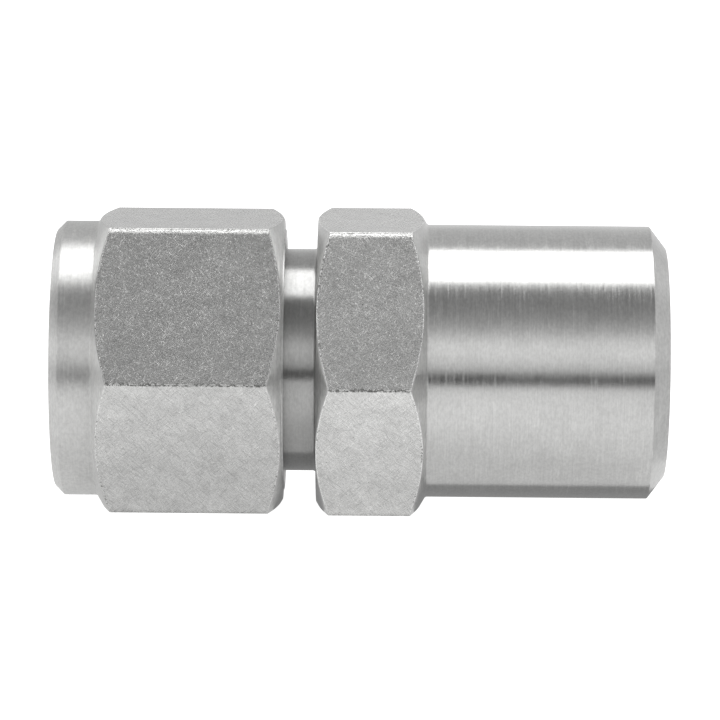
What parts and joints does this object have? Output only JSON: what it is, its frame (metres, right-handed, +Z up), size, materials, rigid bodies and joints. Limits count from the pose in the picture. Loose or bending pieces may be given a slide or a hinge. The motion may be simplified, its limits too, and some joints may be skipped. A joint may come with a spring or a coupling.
{
  "type": "male pipe weld connector",
  "caption": "Straight twin-ferrule tube fitting: ferrule nut and hexagon body at one end, bevelled butt-weld pipe end at the other.",
  "frame": {"origin": "on the flow axis at the shoulder in the body that stops the tube", "axes": "+X along the flow axis towards the weld end, -X towards the nut, +Z up from the hexagon flats the fitting lies on"},
  "size_m": [0.0475, 0.0256, 0.0226],
  "materials": {
    "body_steel": "turned ends with fine tool lines, coarse tumbled grain on the hexagon flats",
    "nut_steel": "turned collar with fine tool lines, coarse tumbled grain on the hexagon flats",
    "ferrule_steel": "fine turned and burnished"
  },
  "bodies": {
    "body": {"connector_body": "body_steel"},
    "ferrules": {"front_ferrule": "ferrule_steel", "back_ferrule": "ferrule_steel"},
    "nut": {"nut": "nut_steel"}
  },
  "joints": [
    {"name": "nut_travel", "type": "slide", "parent": "body", "child": "ferrules", "axis": [-1, 0, 0], "range_m": [0, 0.00889]},
    {"name": "nut_turn", "type": "hinge", "parent": "ferrules", "child": "nut", "pos_m": [0, 0, 0], "axis": [-1, 0, 0], "range_deg": [0, 2520]}
  ],
  "couplings": [
    {"joint": "nut_travel", "follows": "nut_turn", "m_per_rad": 0.00020213}
  ]
}
